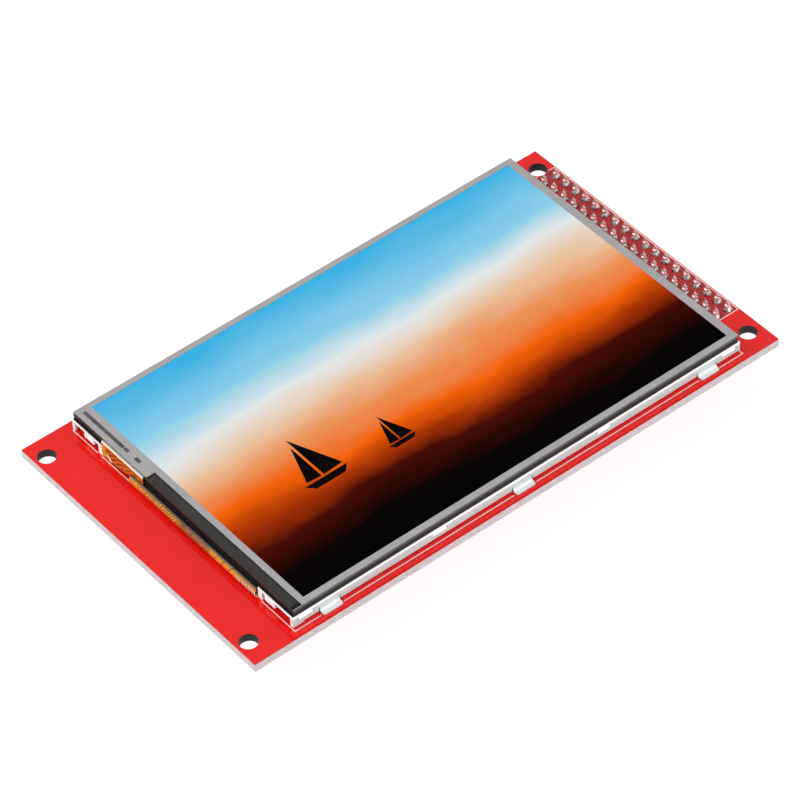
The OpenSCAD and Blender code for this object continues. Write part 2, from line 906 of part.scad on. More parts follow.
// Memory card socket at the left end: its mouth faces the board's edge
socket_x = [1.2, 15.9];
socket_y = [board_w / 2 - 7, board_w / 2 + 7];
socket_h = 1.9;
shell_t = 0.15;
slot_z = [0.55, 1.7];

module card_socket_base() {
    color(part_black) under_board() difference() {
        block([socket_x[0] + 0.3, socket_x[1] - 0.3],
              [socket_y[0] + shell_t, socket_y[1] - shell_t],
              [0.05, socket_h - shell_t]);
        block([socket_x[0] - 1, socket_x[1] - 2],
              [socket_y[0] + 1.4, socket_y[1] - 1.4],
              [slot_z[0], socket_h + 1]);
        for (i = [0:7])
            block([socket_x[0] + 4, socket_x[0] + 9],
                  [contact_y(i) - 0.3, contact_y(i) + 0.3], [-1, socket_h]);
    }
}

function contact_y(i) = board_w / 2 + (i - 3.5) * 1.1;

module card_socket_shell() {
    window_l = 3;
    color(steel_grey) under_board() difference() {
        block(socket_x, socket_y, [0, socket_h]);
        block([socket_x[0] - 1, socket_x[1] - shell_t],
              [socket_y[0] + shell_t, socket_y[1] - shell_t],
              [-1, socket_h - shell_t]);
        // stamped windows over the contacts and the card's catch
        block([socket_x[0] + 4.5, socket_x[0] + 4.5 + window_l],
              [board_w / 2 - 4, board_w / 2 + 4], [1, socket_h + 1]);
        translate([socket_x[1] - 3.2, board_w / 2, 0])
            cylinder(d = 1.6, h = 4, $fn = 24);
        // finger notch at the mouth
        translate([socket_x[0] - 1.2, board_w / 2, 1])
            cylinder(d = 7, h = 4, $fn = 48);
        // cut away between the soldered feet
        for (y = [socket_y[0] - 1, socket_y[1] - 1])
            block([socket_x[0] + 2, socket_x[1] - 2], [y, y + 2], [-1, 0.35]);
        block([socket_x[1] - 1, socket_x[1] + 1],
              [socket_y[0] + 1.5, socket_y[1] - 1.5], [-1, 0.8]);
    }
}

// Spring contacts: a foot on the board, and a blade that rises into the slot
module card_socket_contacts() {
    color("gold") under_board() for (i = [0:7])
        translate([socket_x[0] + 4.05, 0, 0])
            along_y([contact_y(i) - 0.2, contact_y(i) + 0.2]) polygon([
                [0, 0], [1, 0], [1.2, 0.35], [3.9, 0.75], [4.5, 0.6],
                [4.5, 0.75], [3.9, 0.92], [1.1, 0.5], [0.9, 0.15], [0, 0.15]
            ]);
}

// Small chip parts: [x, y, turned]
capacitor_at = [
    [47, 8.5, 0], [59.8, 8.5, 0], [64.1, 12.2, 1], [68.4, 18.3, 1],
    [68.4, 40.3, 1], [32, 40.3, 0], [42.7, 42.7, 1]
];
resistor_at = [
    [42.7, 13.4, 0], [48.1, 17.1, 1], [32, 50, 0], [40.6, 50, 0],
    [49.1, 50, 0], [49.1, 47, 0], [59.8, 24.4, 1], [62, 24.4, 1],
    [64.1, 24.4, 1], [59.8, 31.7, 1], [62, 31.7, 1], [64.1, 31.7, 1]
];
chip_l = 1.6;
chip_w = 0.8;
cap_l = 0.3;
capacitor_h = 0.8;
resistor_h = 0.45;

module at_chip(p) {
    under_board() translate([p[0], p[1], 0])
        rotate([0, 0, 90 * p[2]]) children();
}

module chip_core(h) {
    block([-chip_l / 2 + cap_l, chip_l / 2 - cap_l],
          [-chip_w / 2 + 0.02, chip_w / 2 - 0.02], [0.02, h - 0.02]);
}

module chip_caps(h) {
    for (s = [-1, 1]) translate([s * (chip_l - cap_l) / 2, 0, h / 2])
        cube([cap_l, chip_w, h], center = true);
}

module capacitors() {
    color([0.72, 0.60, 0.45]) for (p = capacitor_at) at_chip(p)
        chip_core(capacitor_h);
}

module resistors() {
    color([0.12, 0.12, 0.14]) for (p = resistor_at) at_chip(p)
        chip_core(resistor_h);
}

module chip_end_caps() {
    color(tin_grey) {
        for (p = capacitor_at) at_chip(p) chip_caps(capacitor_h);
        for (p = resistor_at) at_chip(p) chip_caps(resistor_h);
    }
}

circuit_board();
board_print();
header_pins();
header_housing();
solder_joints();
mounting_tape();
steel_tray();
moulded_frame();
reflector_sheet();
light_guide();
led_flex();
backlight_leds();
diffuser_film();
lower_prism_film();
upper_prism_film();
light_shield();
rear_polariser();
display_glass();
colour_filter_glass();
front_polariser();
driver_chip();
display_flex();
flex_solder();
ledge_cover();
picture_blue_sky();
picture_pale_sky();
picture_peach_sky();
picture_orange_sky();
picture_dusk();
picture_water();
picture_boats();
touch_adhesive();
touch_glass();
touch_spacer();
touch_film();
border_print();
border_marks();
touch_flex();
touch_solder();
bus_chips();
bus_chip_leads();
touch_controller();
touch_controller_leads();
regulator();
regulator_leads();
backlight_transistor();
transistor_leads();
card_socket_base();
card_socket_shell();
card_socket_contacts();
capacitors();
resistors();
chip_end_caps();
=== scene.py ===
import bpy
import json
import math
import numpy as np
from mathutils import Matrix, Vector


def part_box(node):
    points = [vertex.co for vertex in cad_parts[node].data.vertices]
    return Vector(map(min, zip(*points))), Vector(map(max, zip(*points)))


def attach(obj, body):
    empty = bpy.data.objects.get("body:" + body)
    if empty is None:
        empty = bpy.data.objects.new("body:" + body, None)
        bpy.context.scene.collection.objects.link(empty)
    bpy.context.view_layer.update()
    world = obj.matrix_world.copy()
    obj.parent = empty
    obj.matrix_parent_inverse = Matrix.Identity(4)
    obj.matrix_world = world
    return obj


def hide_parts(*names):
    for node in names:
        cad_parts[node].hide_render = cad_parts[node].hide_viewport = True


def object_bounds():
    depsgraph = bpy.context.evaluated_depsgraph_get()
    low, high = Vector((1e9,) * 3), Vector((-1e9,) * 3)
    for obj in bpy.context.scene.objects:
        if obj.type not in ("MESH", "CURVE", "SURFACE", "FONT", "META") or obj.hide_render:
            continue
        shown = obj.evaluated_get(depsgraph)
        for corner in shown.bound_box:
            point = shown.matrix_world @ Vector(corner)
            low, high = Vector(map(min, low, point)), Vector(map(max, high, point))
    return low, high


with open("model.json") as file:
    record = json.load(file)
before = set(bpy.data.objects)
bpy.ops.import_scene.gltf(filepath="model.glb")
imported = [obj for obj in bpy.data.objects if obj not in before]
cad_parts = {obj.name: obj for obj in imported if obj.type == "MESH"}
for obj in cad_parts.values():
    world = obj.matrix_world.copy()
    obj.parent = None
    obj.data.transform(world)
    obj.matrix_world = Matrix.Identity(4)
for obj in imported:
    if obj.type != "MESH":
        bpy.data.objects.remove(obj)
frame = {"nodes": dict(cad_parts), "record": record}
cadLow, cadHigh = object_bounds()
cad = frame["nodes"]
mm = 0.001


# helpers for shader nodes

def screenColour(red, green, blue):
    # each channel from 0..255 on a screen to the linear value that a shader wants
    share = np.array([red, green, blue]) / 255
    flat = np.where(share <= 0.04045, share / 12.92, ((share + 0.055) / 1.055) ** 2.4)
    return (*[float(c) for c in flat], 1.0)


class Finish:
    # a material whose nodes are added and joined in one line each
    def __init__(self, name):
        self.material = bpy.data.materials.new(name)
        self.material.use_nodes = True
        self.tree = self.material.node_tree
        self.shader = self.tree.nodes["Principled BSDF"]
        self.place = self.tree.nodes.new("ShaderNodeTexCoord").outputs["Object"]

    def put(self, socket, value):
        if isinstance(value, bpy.types.NodeSocket):
            self.tree.links.new(value, socket)
        else:
            socket.default_value = value

    def surface(self, **values):
        for name, value in values.items():
            self.put(self.shader.inputs[name.replace("_", " ")], value)
        return self.material

    def math(self, how, one, two=0.0, three=0.0, clamp=False):
        made = self.tree.nodes.new("ShaderNodeMath")
        made.operation, made.use_clamp = how, clamp
        for socket, value in zip(made.inputs, (one, two, three)):
            self.put(socket, value)
        return made.outputs[0]

    def axis(self, letter):
        made = self.tree.nodes.new("ShaderNodeSeparateXYZ")
        self.put(made.inputs[0], self.place)
        return made.outputs[letter]

    def facing(self, letter):
        # how far the surface's own normal points along an axis, 0..1
        made = self.tree.nodes.new("ShaderNodeSeparateXYZ")
        coords = self.tree.nodes.new("ShaderNodeTexCoord")
        self.put(made.inputs[0], coords.outputs["Normal"])
        return self.math("ABSOLUTE", made.outputs[letter])

    def within(self, value, low, high, soft=0.00002):
        # 1 between low and high, 0 outside, with a soft edge
        rise = self.math("DIVIDE", self.math("SUBTRACT", value, low - soft), 2 * soft, clamp=True)
        fall = self.math("DIVIDE", self.math("SUBTRACT", high + soft, value), 2 * soft, clamp=True)
        return self.math("MULTIPLY", rise, fall)

    def both(self, one, two):
        return self.math("MULTIPLY", one, two)

    def either(self, one, two):
        return self.math("MAXIMUM", one, two)

    def speckle(self, size, detail=3.0, rough=0.55, stretch=None):
        # noise whose grains are about size metres across
        made = self.tree.nodes.new("ShaderNodeTexNoise")
        made.inputs["Scale"].default_value = 1.0 / size
        made.inputs["Detail"].default_value = detail
        made.inputs["Roughness"].default_value = rough
        source = self.place
        if stretch:
            turn = self.tree.nodes.new("ShaderNodeMapping")
            turn.inputs["Scale"].default_value = stretch
            self.put(turn.inputs["Vector"], source)
            source = turn.outputs[0]
        self.put(made.inputs["Vector"], source)
        return made.outputs["Fac"]

    def spread(self, value, low, high):
        # noise around 0.5 stretched to run from low to high
        made = self.tree.nodes.new("ShaderNodeMapRange")
        made.inputs["From Min"].default_value = 0.3
        made.inputs["From Max"].default_value = 0.7
        made.inputs["To Min"].default_value = low
        made.inputs["To Max"].default_value = high
        self.put(made.inputs["Value"], value)
        return made.outputs[0]

    def mix(self, share, one, two):
        made = self.tree.nodes.new("ShaderNodeMix")
        made.data_type = "RGBA"
        self.put(made.inputs["Factor"], share)
        self.put(made.inputs["A"], one)
        self.put(made.inputs["B"], two)
        return made.outputs["Result"]

    def ramp(self, value, stops):
        made = self.tree.nodes.new("ShaderNodeValToRGB")
        band = made.color_ramp
        while len(band.elements) < len(stops):
            band.elements.new(0.5)
        for element, (position, colour) in zip(band.elements, stops):
            element.position, element.color = position, colour
        self.put(made.inputs[0], value)
        return made.outputs[0]

    def bump(self, height, strength, distance):
        made = self.tree.nodes.new("ShaderNodeBump")
        made.inputs["Strength"].default_value = strength
        made.inputs["Distance"].default_value = distance
        self.put(made.inputs["Height"], height)
        self.put(self.shader.inputs["Normal"], made.outputs[0])


def grainedFinish(name, look):
    # one colour drifting to a second with soft noise, and a fine grain in gloss and height
    made = Finish(name)
    drift = made.spread(made.speckle(look["driftSize"]), 0.0, 1.0)
    grain = made.speckle(look["grainSize"], detail=2.0, stretch=look.get("stretch"))
    made.surface(
        Base_Color=made.mix(drift, look["colour"], look["colourTwo"]),
        Roughness=made.spread(grain, look["gloss"][0], look["gloss"][1]),
    )
    for socket, value in look.get("fixed", {}).items():
        made.shader.inputs[socket].default_value = value
    made.bump(grain, look.get("bump", 0.15), look.get("depth", 0.01 * mm))
    return made.material


def dress(nodeName, material):
    mesh = cad[nodeName].data
    mesh.materials.clear()
    mesh.materials.append(material)


# camera, floor and light

camera = {
    "place": (-0.30935, -0.42245, 0.5184),
    "azimuth": 53.80,    # of the view, from +X towards +Y
    "elevation": 44.70,
    "roll": 3.79,
    "lens": 206.7,
}


def makeCamera(values):
    a, e, r = (math.radians(values[k]) for k in ("azimuth", "elevation", "roll"))
    forward = Vector((math.cos(e) * math.cos(a), math.cos(e) * math.sin(a), -math.sin(e)))
    levelRight = Vector((math.sin(a), -math.cos(a), 0))
    levelDown = forward.cross(levelRight)
    right = levelRight * math.cos(r) + levelDown * math.sin(r)
    down = forward.cross(right)
    data = bpy.data.cameras.new("viewCamera")
    data.sensor_width, data.lens = 36, values["lens"]
    data.clip_start, data.clip_end = 0.01, 20
    made = bpy.data.objects.new("viewCamera", data)
    turn = Matrix((right, -down, -forward)).transposed().to_4x4()
    made.matrix_world = Matrix.Translation(values["place"]) @ turn
    bpy.context.scene.collection.objects.link(made)
    bpy.context.scene.camera = made


makeCamera(camera)

studio = {
    "floorHalf": 1.5,
    "floorColour": (0.10, 0.10, 0.10, 1),
    "floorShade": (0.09, 0.09, 0.09, 1),
    "floorGlow": 0.93,
    "skyTop": 0.80, "skyRim": 0.40,    # brightness overhead and at the horizon
    "skyTopFrom": 0.75,                # upward share of the direction where the top's starts
    "lamps": {                         # place, width, power
        "keyLamp": ((-0.35, 0.30, 0.75), 0.5, 2.2),
        "sideLamp": ((0.10, -0.65, 0.15), 0.4, 2.4),
        "endLamp": ((-0.62, 0.05, 0.15), 0.4, 1.9),
    },
}


def softLamp(name, place, size, power):
    data = bpy.data.lights.new(name, "AREA")
    data.shape, data.size, data.energy = "DISK", size, power
    made = bpy.data.objects.new(name, data)
    made.location = place
    made.rotation_mode = "QUATERNION"
    made.rotation_quaternion = (-Vector(place)).to_track_quat("-Z", "Y")
    bpy.context.scene.collection.objects.link(made)


def makeStudio(values):
    half, level = values["floorHalf"], cadLow.z - 0.00002
    corners = np.array([[-1, -1, 0], [1, -1, 0], [1, 1, 0], [-1, 1, 0]]) * half
    corners[:, 2] = level
    mesh = bpy.data.meshes.new("studioFloor")
    mesh.from_pydata(corners.tolist(), [], [(0, 1, 2, 3)])
    floor = bpy.data.objects.new("studioFloor", mesh)
    bpy.context.scene.collection.objects.link(floor)
    made = Finish("studioPaper")
    tone = made.spread(made.speckle(0.4), 0.985, 1.0)
    made.surface(
        Base_Color=made.mix(tone, values["floorShade"], values["floorColour"]), Roughness=0.9,
        Emission_Color=(1, 1, 1, 1), Emission_Strength=values["floorGlow"],
    )
    made.shader.inputs["Specular IOR Level"].default_value = 0.0
    mesh.materials.append(made.material)
    world = bpy.data.worlds.new("studioSky")
    world.use_nodes = True
    tree = world.node_tree
    sky = tree.nodes["Background"]
    upward = tree.nodes.new("ShaderNodeSeparateXYZ")
    tree.links.new(tree.nodes.new("ShaderNodeTexCoord").outputs["Generated"], upward.inputs[0])
    fade = tree.nodes.new("ShaderNodeMapRange")
    fade.interpolation_type = "SMOOTHSTEP"
    fade.inputs["From Min"].default_value = 0.0
    fade.inputs["From Max"].default_value = values["skyTopFrom"]
    fade.inputs["To Min"].default_value = values["skyRim"]
    fade.inputs["To Max"].default_value = values["skyTop"]
    tree.links.new(upward.outputs["Z"], fade.inputs["Value"])
    tree.links.new(fade.outputs[0], sky.inputs["Strength"])
    sky.inputs["Color"].default_value = (1, 1, 1, 1)
    bpy.context.scene.world = world
    for name, lamp in values["lamps"].items():
        softLamp(name, *lamp)


makeStudio(studio)
bpy.context.scene.view_settings.view_transform = "Standard"
print("camera, floor and lights made")


# circuit board

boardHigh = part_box("circuit_board")[1]
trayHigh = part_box("steel_tray")[1]
headerLow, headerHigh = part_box("header_housing")
holeMount = next(m for m in frame["record"]["mounts"] if m["kind"] == "bolt_pattern")
holeSpacing = [holeMount["dims"][k] * mm for k in ("spacing_x_mm", "spacing_y_mm")]

board = {
    "mask": screenColour(222, 12, 10),
    "maskTwo": screenColour(216, 8, 8),
    # the first colour on the next line is painted shade, near black, on the mounting holes' walls
    "holeWallShade": screenColour(26, 13, 11), "holeReach": 2 * mm,
    "bare": screenColour(168, 26, 26),         # mask over bare laminate, round the header
    "edge": screenColour(200, 190, 190),
    "edgeTwo": screenColour(164, 148, 150),
    "lip": 0.12 * mm, "lipColour": screenColour(150, 40, 44),
    "headerBoxX": trayHigh.x + 1.4 * mm,
    "headerBoxY": (headerLow.y, headerHigh.y + 0.7 * mm),
}


def maskMaterial(values):
    # glossy red lacquer on both faces, pale layered laminate on the cut edges,
    # a deeper red where no copper lies under the lacquer, and painted shade on the holes' walls
    made = Finish("redBoardLacquer")
    x, y, z = (made.axis(k) for k in "XYZ")
    cloud = made.spread(made.speckle(9 * mm), 0.0, 1.0)
    lacquer = made.mix(cloud, values["mask"], values["maskTwo"])
    boxX = made.within(x, values["headerBoxX"], boardHigh.x - 0.2 * mm)
    boxY = made.within(y, *values["headerBoxY"])
    lacquer = made.mix(made.both(boxX, boxY), lacquer, values["bare"])
    layers = made.spread(made.speckle(0.35 * mm, stretch=(0.25, 0.25, 2.5)), 0.0, 1.0)
    laminate = made.mix(layers, values["edge"], values["edgeTwo"])
    lip = made.math("GREATER_THAN", z, boardHigh.z - values["lip"])
    laminate = made.mix(lip, laminate, values["lipColour"])
    # painted shade, near black, on the walls near the mounting holes
    fromHoleX = made.math("SUBTRACT", made.math("ABSOLUTE", x), holeSpacing[0] / 2)
    fromHoleY = made.math("SUBTRACT", made.math("ABSOLUTE", y), holeSpacing[1] / 2)
    acrossSquared = made.both(fromHoleY, fromHoleY)
    fromHole = made.math("SQRT", made.math("MULTIPLY_ADD", fromHoleX, fromHoleX, acrossSquared))
    nearHole = made.math("LESS_THAN", fromHole, values["holeReach"])
    laminate = made.mix(nearHole, laminate, values["holeWallShade"])
    top = made.math("GREATER_THAN", made.facing("Z"), 0.5)
    grain = made.speckle(0.5 * mm, detail=2.0)
    made.surface(
        Base_Color=made.mix(top, laminate, lacquer),
        Roughness=made.math("ADD", made.math("MULTIPLY", top, -0.45), made.spread(grain, 0.52, 0.58)),
    )
    made.shader.inputs["Specular IOR Level"].default_value = 0.35
    made.bump(grain, 0.05, 0.004 * mm)
    return made.material


dress("circuit_board", maskMaterial(board))

printInk = {
    "colour": screenColour(250, 205, 200), "colourTwo": screenColour(245, 180, 176),
    "driftSize": 2 * mm, "grainSize": 0.15 * mm, "gloss": (0.5, 0.65),
}
dress("board_print", grainedFinish("palePrint", printInk))
print("circuit board finished")


# header and solder

solder = {
    "colour": screenColour(238, 236, 236), "colourTwo": screenColour(214, 212, 214),
    "driftSize": 1.1 * mm, "grainSize": 0.35 * mm, "gloss": (0.10, 0.24), "bump": 0.3,
    "depth": 0.03 * mm, "fixed": {"Metallic": 1.0},
}
pinPlating = {
    "colour": screenColour(248, 222, 222), "colourTwo": screenColour(240, 204, 196),
    "driftSize": 1.6 * mm, "grainSize": 0.2 * mm, "gloss": (0.1, 0.2),
    "fixed": {"Metallic": 1.0},
}
headerPlastic = {
    "colour": screenColour(34, 34, 36), "colourTwo": screenColour(44, 44, 46),
    "driftSize": 1.5 * mm, "grainSize": 0.12 * mm, "gloss": (0.36, 0.52),
}
solderMaterial = grainedFinish("brightSolder", solder)
cone = {
    # the foot colour is a painted reflection of the red board, with painted shade
    "tip": screenColour(250, 246, 248), "foot": screenColour(116, 40, 44),
    "footFrom": 0.02, "footHeight": 0.60,   # shares of the joint's height
    "mottle": 0.4, "mottleSize": 0.5 * mm, "gloss": (0.16, 0.30),
}


def coneMaterial(values):
    # tin that is bright at the tip and, at its foot, darkens into a painted reflection of the red board
    # and painted shade
    made = Finish("solderCone")
    low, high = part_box("solder_joints")
    share = made.math("DIVIDE", made.math("SUBTRACT", made.axis("Z"), low.z), high.z - low.z)
    patches = made.speckle(values["mottleSize"], detail=2.0)
    mottle = made.spread(patches, -values["mottle"], values["mottle"])
    level = made.math("ADD", share, made.math("MULTIPLY", mottle, 0.5))
    above = made.math("SUBTRACT", level, values["footFrom"])
    rise = made.math("DIVIDE", above, values["footHeight"], clamp=True)
    made.surface(
        Base_Color=made.mix(rise, values["foot"], values["tip"]),
        Roughness=made.spread(made.speckle(0.3 * mm), *values["gloss"]), Metallic=0.85,
    )
    made.bump(made.spread(made.speckle(0.45 * mm, detail=3.0), 0.0, 1.0), 0.35, 0.05 * mm)
    return made.material


platingMaterial = grainedFinish("pinPlating", pinPlating)
blackPlastic = grainedFinish("headerPlastic", headerPlastic)
dress("solder_joints", coneMaterial(cone))
for nodeName in ("flex_solder", "touch_solder"):
    dress(nodeName, solderMaterial)
for nodeName in ("header_pins", "card_socket_contacts"):
    dress(nodeName, platingMaterial)
for nodeName in ("header_housing", "card_socket_base"):
    dress(nodeName, blackPlastic)
print("header finished")


# tray and frame

traySteel = {
    "wall": screenColour(200, 214, 214), "wallTwo": screenColour(190, 204, 204),
    # the flat colour is a painted light on faces that lie flat
    "flat": screenColour(240, 238, 238), "driftSize": 6 * mm,
    "grainSize": 0.25 * mm, "stretch": (0.12, 0.12, 1.6), "gloss": (0.42, 0.54),
}
framePlastic = {
    "colour": screenColour(247, 250, 250), "colourTwo": screenColour(242, 246, 246),
    "driftSize": 3 * mm, "grainSize": 0.2 * mm, "gloss": (0.35, 0.5),
}
whiteTape = {
    "colour": screenColour(236, 236, 230), "colourTwo": screenColour(226, 226, 220),
    "driftSize": 2 * mm, "grainSize": 0.1 * mm, "gloss": (0.8, 0.95),
}


def satinSteelLitFlat(values):
    # rolled steel with a satin face: greyer where it stands upright, and paler where
    # it lies flat as a painted light; drawn out along the sheet in gloss and height
    made = Finish("satinSteelLitFlat")
    drift = made.spread(made.speckle(values["driftSize"]), 0.0, 1.0)
    upright = made.mix(drift, values["wall"], values["wallTwo"])
    grain = made.speckle(values["grainSize"], detail=2.0, stretch=values["stretch"])
    # faces that lie flat get the paler colour as painted light
    flat = made.math("GREATER_THAN", made.facing("Z"), 0.6)
    made.surface(
        Base_Color=made.mix(flat, upright, values["flat"]),
        Roughness=made.spread(grain, *values["gloss"]), Metallic=0.3,
    )
    made.bump(grain, 0.08, 0.01 * mm)
    return made.material


steelMaterial = satinSteelLitFlat(traySteel)
dress("steel_tray", steelMaterial)
dress("card_socket_shell", steelMaterial)
dress("moulded_frame", grainedFinish("whiteFramePlastic", framePlastic))
dress("mounting_tape", grainedFinish("foamTape", whiteTape))
print("tray and frame finished")


# backlight and cell

whiteFilm = dict(whiteTape, colour=screenColour(246, 247, 248), gloss=(0.25, 0.4))
clearAcrylic = {
    "colour": screenColour(236, 244, 248), "colourTwo": screenColour(226, 238, 244),
    "driftSize": 4 * mm, "grainSize": 0.4 * mm, "gloss": (0.05, 0.12),
}
lampResin = {
    "colour": screenColour(244, 238, 196), "colourTwo": screenColour(240, 230, 170),
    "driftSize": 0.8 * mm, "grainSize": 0.1 * mm, "gloss": (0.4, 0.5),
}
darkTape = {
    "colour": screenColour(24, 24, 24), "colourTwo": screenColour(19, 19, 19),
    "driftSize": 1.5 * mm, "grainSize": 0.1 * mm, "gloss": (0.5, 0.7),
    "fixed": {"Specular IOR Level": 0.15},
}


def darkKind(one, two, gloss):
    # the dark tape's look in two other colours and another gloss
    return dict(darkTape, colour=screenColour(*one), colourTwo=screenColour(*two), gloss=gloss)


charcoalTape = darkKind((58, 57, 55), (50, 49, 48), (0.35, 0.5))
darkFilm = darkKind((30, 30, 36), (24, 24, 30), (0.15, 0.25))
siliconDie = darkKind((90, 94, 104), (70, 76, 90), (0.1, 0.2))
filmMaterial = grainedFinish("whiteFilm", whiteFilm)
tapeMaterial = grainedFinish("blackTape", darkTape)
for nodeName in ("reflector_sheet", "diffuser_film", "lower_prism_film", "upper_prism_film"):
    dress(nodeName, filmMaterial)
dress("light_guide", grainedFinish("clearAcrylic", clearAcrylic))
dress("backlight_leds", grainedFinish("lampResin", lampResin))
dress("driver_chip", grainedFinish("siliconDie", siliconDie))
for nodeName in ("light_shield", "touch_adhesive", "touch_spacer"):
    dress(nodeName, tapeMaterial)
dress("ledge_cover", grainedFinish("charcoalTape", charcoalTape))
for nodeName in ("rear_polariser", "front_polariser"):
    dress(nodeName, grainedFinish("darkFilm", darkFilm))

glass = {
    "nearSide": screenColour(44, 45, 45), "nearTop": screenColour(92, 94, 94),
    # the end colours, darker than the near ones, are painted shade
    "shadedEndSide": screenColour(20, 21, 21), "shadedEndTop": screenColour(50, 53, 52),
    "topFrom": 0.72,                   # share of the height where the paler band starts
    "face": (0.02, 0.02, 0.02, 1), "faceShow": 0.02,
}


def glassMaterial(name, nodeName, values):
    # nearly clear on its two faces, and dark at its ground edges, which are
    # paler in a band under the top and, as painted shade, darker at the ends than on the long sides
    made = Finish(name)
    low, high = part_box(nodeName)
    flat = made.math("GREATER_THAN", made.facing("Z"), 0.5)
    endwise = made.math("GREATER_THAN", made.facing("X"), 0.5)
    ground = made.spread(made.speckle(0.5 * mm, stretch=(0.3, 0.3, 2.0)), 0.85, 1.0)
    level = made.math("DIVIDE", made.math("SUBTRACT", made.axis("Z"), low.z), high.z - low.z)
    upper = made.math("GREATER_THAN", level, values["topFrom"])
    # the ends get the darker colours as painted shade
    end = made.mix(upper, values["shadedEndSide"], values["shadedEndTop"])
    side = made.mix(upper, values["nearSide"], values["nearTop"])
    edge = made.mix(ground, (0, 0, 0, 1), made.mix(endwise, side, end))
    made.surface(
        Base_Color=made.mix(flat, edge, values["face"]), Roughness=0.4,
        Alpha=made.math("MULTIPLY_ADD", flat, values["faceShow"] - 1.0, 1.0),
    )
    made.shader.inputs["Specular IOR Level"].default_value = 0.12
    return made.material


filmSheet = dict(
    glass, nearSide=screenColour(140, 140, 140), nearTop=screenColour(140, 140, 140),
    shadedEndSide=screenColour(52, 56, 55), shadedEndTop=screenColour(52, 56, 55),
)
for nodeName in ("display_glass", "colour_filter_glass", "touch_glass"):
    dress(nodeName, glassMaterial(nodeName.title().replace("_", "") + "Glass", nodeName, glass))
dress("touch_film", glassMaterial("clearTouchFilm", "touch_film", filmSheet))
print("backlight and cell finished")


# lit picture

bandNames = (
    "picture_blue_sky", "picture_pale_sky", "picture_peach_sky",
    "picture_orange_sky", "picture_dusk", "picture_water",
)
bandBoxes = [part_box(n) for n in bandNames]
bandLow = Vector([min(b[0][i] for b in bandBoxes) for i in range(3)])
bandHigh = Vector([max(b[1][i] for b in bandBoxes) for i in range(3)])
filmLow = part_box("touch_film")[0]
lift = filmLow.z - 0.03 * mm - bandHigh.z     # the picture shows close under the touch film
inset = 0.1 * mm
pictureLow = bandLow + Vector((inset, inset, lift))
pictureHigh = bandHigh + Vector((-inset, -inset, lift))
picture = {
    "stops": [                         # share of the height, colour
        (0.00, screenColour(2, 1, 1)),
        (0.10, screenColour(6, 1, 1)),
        (0.22, screenColour(70, 10, 2)),
        (0.30, screenColour(176, 54, 2)),
        (0.38, screenColour(246, 101, 4)),
        (0.47, screenColour(240, 150, 90)),
        (0.57, screenColour(238, 200, 166)),
        (0.69, screenColour(231, 236, 236)),
        (0.80, screenColour(140, 210, 236)),
        (1.00, screenColour(60, 180, 232)),
    ],
    "swell": 0.05,                     # how far the bands wander, as a share
    "swellSize": 26 * mm,
    "brightness": 1.0,
    "columns": 88, "rows": 56,
}


def slab(name, low, high, columns, rows):
    # x and y run over an even grid; the top lies at the high corner's z, and the
    # same grid turned over lies at the low corner's z, joined round the rim
    u, v = np.meshgrid(np.linspace(low.x, high.x, columns + 1), np.linspace(low.y, high.y, rows + 1))
    sheet = lambda z: np.stack([u.ravel(), v.ravel(), np.full(u.size, z)], 1)
    points = np.concatenate([sheet(high.z), sheet(low.z)])
    index = np.arange(u.size).reshape(rows + 1, columns + 1)
    quads = np.stack([index[:-1, :-1], index[:-1, 1:], index[1:, 1:], index[1:, :-1]], -1).reshape(-1, 4)
    rim = np.concatenate([index[0, :-1], index[:-1, -1], index[-1, :0:-1], index[:0:-1, 0]])
    after = np.roll(rim, -1)
    walls = np.stack([rim, rim + u.size, after + u.size, after], 1)
    faces = np.concatenate([quads, quads[:, ::-1] + u.size, walls])
    mesh = bpy.data.meshes.new(name)
    mesh.from_pydata(points.tolist(), [], faces.tolist())
    made = bpy.data.objects.new(name, mesh)
    bpy.context.scene.collection.objects.link(made)
    return made


def pictureMaterial(values):
    # a dusk sky glowing by itself: colour follows the height over the picture,
    # shifted a little by soft noise that is wide along X and low along Y
    made = Finish("duskPicture")
    height = pictureHigh.y - pictureLow.y
    share = made.math("DIVIDE", made.math("SUBTRACT", made.axis("Y"), pictureLow.y), height)
    drift = made.speckle(values["swellSize"], detail=5.0, rough=0.6, stretch=(0.5, 1.4, 1.0))
    moved = made.math("ADD", share, made.spread(drift, -values["swell"], values["swell"]))
    colour = made.ramp(moved, values["stops"])
    made.surface(
        Base_Color=(0, 0, 0, 1), Roughness=0.5,
        Emission_Color=colour, Emission_Strength=values["brightness"],
    )
    made.shader.inputs["Specular IOR Level"].default_value = 0.0
    return made.material


litPicture = slab("litPicture", pictureLow, pictureHigh, picture["columns"], picture["rows"])
litPicture.data.materials.append(pictureMaterial(picture))
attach(litPicture, "root")
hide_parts(*bandNames)

boatInk = {
    "colour": screenColour(14, 8, 8), "colourTwo": screenColour(8, 4, 4),
    "driftSize": 3 * mm, "grainSize": 0.3 * mm, "gloss": (0.5, 0.6),
    "fixed": {"Specular IOR Level": 0.0},
}
boatMesh = cad["picture_boats"].data.copy()
boatMesh.transform(Matrix.Translation((0, 0, lift)))
sailingBoats = bpy.data.objects.new("sailingBoats", boatMesh)
bpy.context.scene.collection.objects.link(sailingBoats)
boatMesh.materials.clear()
boatMesh.materials.append(grainedFinish("boatShadow", boatInk))
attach(sailingBoats, "root")
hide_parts("picture_boats")
print("picture finished")


# touch panel's border

borderInk = {
    "colour": screenColour(158, 156, 157), "colourTwo": screenColour(150, 148, 150),
    "driftSize": 5 * mm, "grainSize": 0.12 * mm, "gloss": (0.4, 0.55),
    "straw": screenColour(162, 158, 136), "strawHalf": 0.5 * mm, "strawWidth": 1.5 * mm,
}
borderTraces = {
    "colour": screenColour(82, 76, 77), "colourTwo": screenColour(62, 57, 59),
    "driftSize": 1.2 * mm, "grainSize": 0.12 * mm, "gloss": (0.4, 0.55),
}


